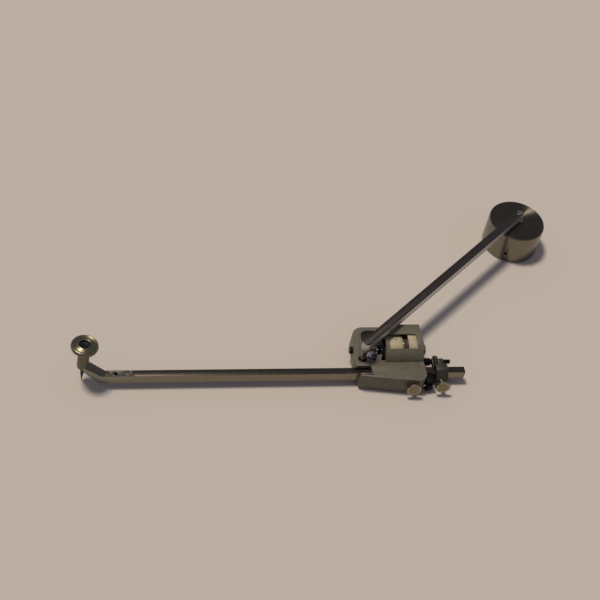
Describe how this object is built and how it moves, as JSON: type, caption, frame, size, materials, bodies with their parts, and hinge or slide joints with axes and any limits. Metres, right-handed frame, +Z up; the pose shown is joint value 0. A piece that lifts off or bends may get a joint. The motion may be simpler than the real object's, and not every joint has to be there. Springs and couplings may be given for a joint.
{
  "type": "polar planimeter",
  "caption": "Area-measuring instrument: a weighted pole, a jointed pole arm, a carriage with a measuring wheel and hooded drum, and a sliding tracer bar with a ringed tracing pin.",
  "frame": {"origin": "centre of the pole weight's foot, on the paper", "axes": "+X along the tracer bar, from the tracing pin towards the carriage; +Z up, away from the paper; +Y from the tracer bar towards the pole"},
  "size_m": [0.2977, 0.1404, 0.0294],
  "materials": {
    "weight_steel": "lathe-turned, burnished",
    "shaft_steel": "ground steel",
    "dark_screw": "blackened steel",
    "pivot_steel": "polished steel",
    "arm_bronze": "browned steel, fine grain",
    "pin_steel": "polished",
    "frame_paint": "olive-grey hammered paint",
    "socket_black": "blackened",
    "bearing_paint": "olive-grey",
    "scale_ivory": "ivory celluloid",
    "wheel_black": "hardened, near black",
    "worm_brass": "plain brass",
    "collar_steel": "brown polished steel",
    "dial_silver": "frosted silver",
    "roller_black": "blackened",
    "vernier_silver": "frosted silver",
    "thumb_steel": "nickel silver",
    "bar_bronze": "browned, fine grain",
    "bracket_grey": "grey-green satin",
    "grip_olive": "polished, radially brushed",
    "tracing_steel": "blued steel",
    "button_black": "black",
    "spring_steel": "spring steel",
    "block_grey": "dark grey, cast",
    "nut_olive": "knurled"
  },
  "bodies": {
    "pole": {"pole_weight": "weight_steel", "pivot_set_screw": "dark_screw", "pivot_spacer": "pivot_steel", "pivot_pin": "pivot_steel"},
    "pole_arm": {"pole_arm": "arm_bronze", "ball_pin": "pin_steel", "ball_pin_nut": "pin_steel"},
    "carriage": {"carriage_frame": "frame_paint", "ball_socket": "socket_black", "drum_hood": "frame_paint", "hood_screws": "shaft_steel", "drum_vernier": "scale_ivory", "left_bearing_screw": "pivot_steel", "left_lock_nut": "dark_screw", "right_bearing_screw": "bearing_paint", "dial_spindle": "shaft_steel", "roller_bracket": "roller_black", "roller_axle": "shaft_steel", "bar_vernier": "vernier_silver", "adjusting_screw": "dark_screw"},
    "wheel": {"measuring_wheel": "wheel_black", "wheel_shaft": "shaft_steel", "shaft_worm": "worm_brass", "graduated_drum": "scale_ivory", "drum_collar": "collar_steel"},
    "dial": {"counting_gear": "worm_brass", "counting_dial": "dial_silver"},
    "roller": {"support_roller": "roller_black"},
    "clamp_shoe": {"clamp_shoe": "worm_brass"},
    "clamp_screw": {"clamp_thumb_screw": "thumb_steel"},
    "fine_block": {"fine_block": "block_grey"},
    "fine_shoe": {"fine_clamp_shoe": "worm_brass"},
    "fine_screw": {"fine_thumb_screw": "thumb_steel"},
    "adjusting_nut": {"adjusting_nut": "nut_olive"},
    "tracer_bar": {"tracer_bar": "bar_bronze", "end_bracket": "bracket_grey", "bracket_screws": "bracket_grey", "pin_spring": "spring_steel"},
    "grip": {"grip_ring": "grip_olive"},
    "pin": {"tracing_pin": "tracing_steel", "pin_button": "button_black"}
  },
  "joints": [
    {"name": "pole_arm_turn", "type": "hinge", "parent": "pole", "child": "pole_arm", "pos_m": [0, 0, 0.0241], "axis": [0, 0, 1], "continuous": true},
    {"name": "carriage_turn", "type": "hinge", "parent": "pole_arm", "child": "carriage", "pos_m": [-0.11751, -0.10397, 0.0114], "axis": [0, 0, 1], "range_deg": [-123, 206]},
    {"name": "wheel_turn", "type": "hinge", "parent": "carriage", "child": "wheel", "pos_m": [-0.10051, -0.09521, 0.0094], "axis": [1, 0, 0], "continuous": true},
    {"name": "dial_turn", "type": "hinge", "parent": "carriage", "child": "dial", "pos_m": [-0.11041, -0.09952, 0.00935], "axis": [0, 0, 1], "continuous": true},
    {"name": "roller_turn", "type": "hinge", "parent": "carriage", "child": "roller", "pos_m": [-0.08021, -0.11636, 0.0034], "axis": [1, 0, 0], "continuous": true},
    {"name": "clamp_shoe_slide", "type": "slide", "parent": "carriage", "child": "clamp_shoe", "axis": [0, -1, 0], "range_m": [0, 0.00025]},
    {"name": "clamp_screw_turn", "type": "hinge", "parent": "clamp_shoe", "child": "clamp_screw", "pos_m": [-0.09011, -0.11897, 0.00675], "axis": [0, -1, 0], "range_deg": [0, 181]},
    {"name": "fine_slide", "type": "slide", "parent": "carriage", "child": "fine_block", "axis": [1, 0, 0], "range_m": [-0.0008, 0.0025]},
    {"name": "adjusting_nut_turn", "type": "hinge", "parent": "fine_block", "child": "adjusting_nut", "pos_m": [-0.07341, -0.10207, 0.0067], "axis": [1, 0, 0], "range_deg": [-600, 1860]},
    {"name": "fine_shoe_slide", "type": "slide", "parent": "fine_block", "child": "fine_shoe", "axis": [0, -1, 0], "range_m": [0, 0.00025]},
    {"name": "fine_screw_turn", "type": "hinge", "parent": "fine_shoe", "child": "fine_screw", "pos_m": [-0.07271, -0.11797, 0.00675], "axis": [0, -1, 0], "range_deg": [0, 181]},
    {"name": "bar_slide", "type": "slide", "parent": "fine_block", "child": "tracer_bar", "axis": [1, 0, 0], "range_m": [-0.008, 0.075]},
    {"name": "grip_turn", "type": "hinge", "parent": "tracer_bar", "child": "grip", "pos_m": [-0.27301, -0.10647, 0.0275], "axis": [0, 0, 1], "continuous": true},
    {"name": "pin_press", "type": "slide", "parent": "tracer_bar", "child": "pin", "axis": [0, 0, 1], "range_m": [-0.0012, 0], "stiffness_N_per_m": 300, "springref_m": 0.0003}
  ],
  "couplings": [
    {"joint": "dial_turn", "follows": "wheel_turn", "ratio": 0.1},
    {"joint": "clamp_screw_turn", "follows": "clamp_shoe_slide", "rad_per_m": 12566},
    {"joint": "fine_screw_turn", "follows": "fine_shoe_slide", "rad_per_m": 12566},
    {"joint": "adjusting_nut_turn", "follows": "fine_slide", "rad_per_m": 12566}
  ]
}
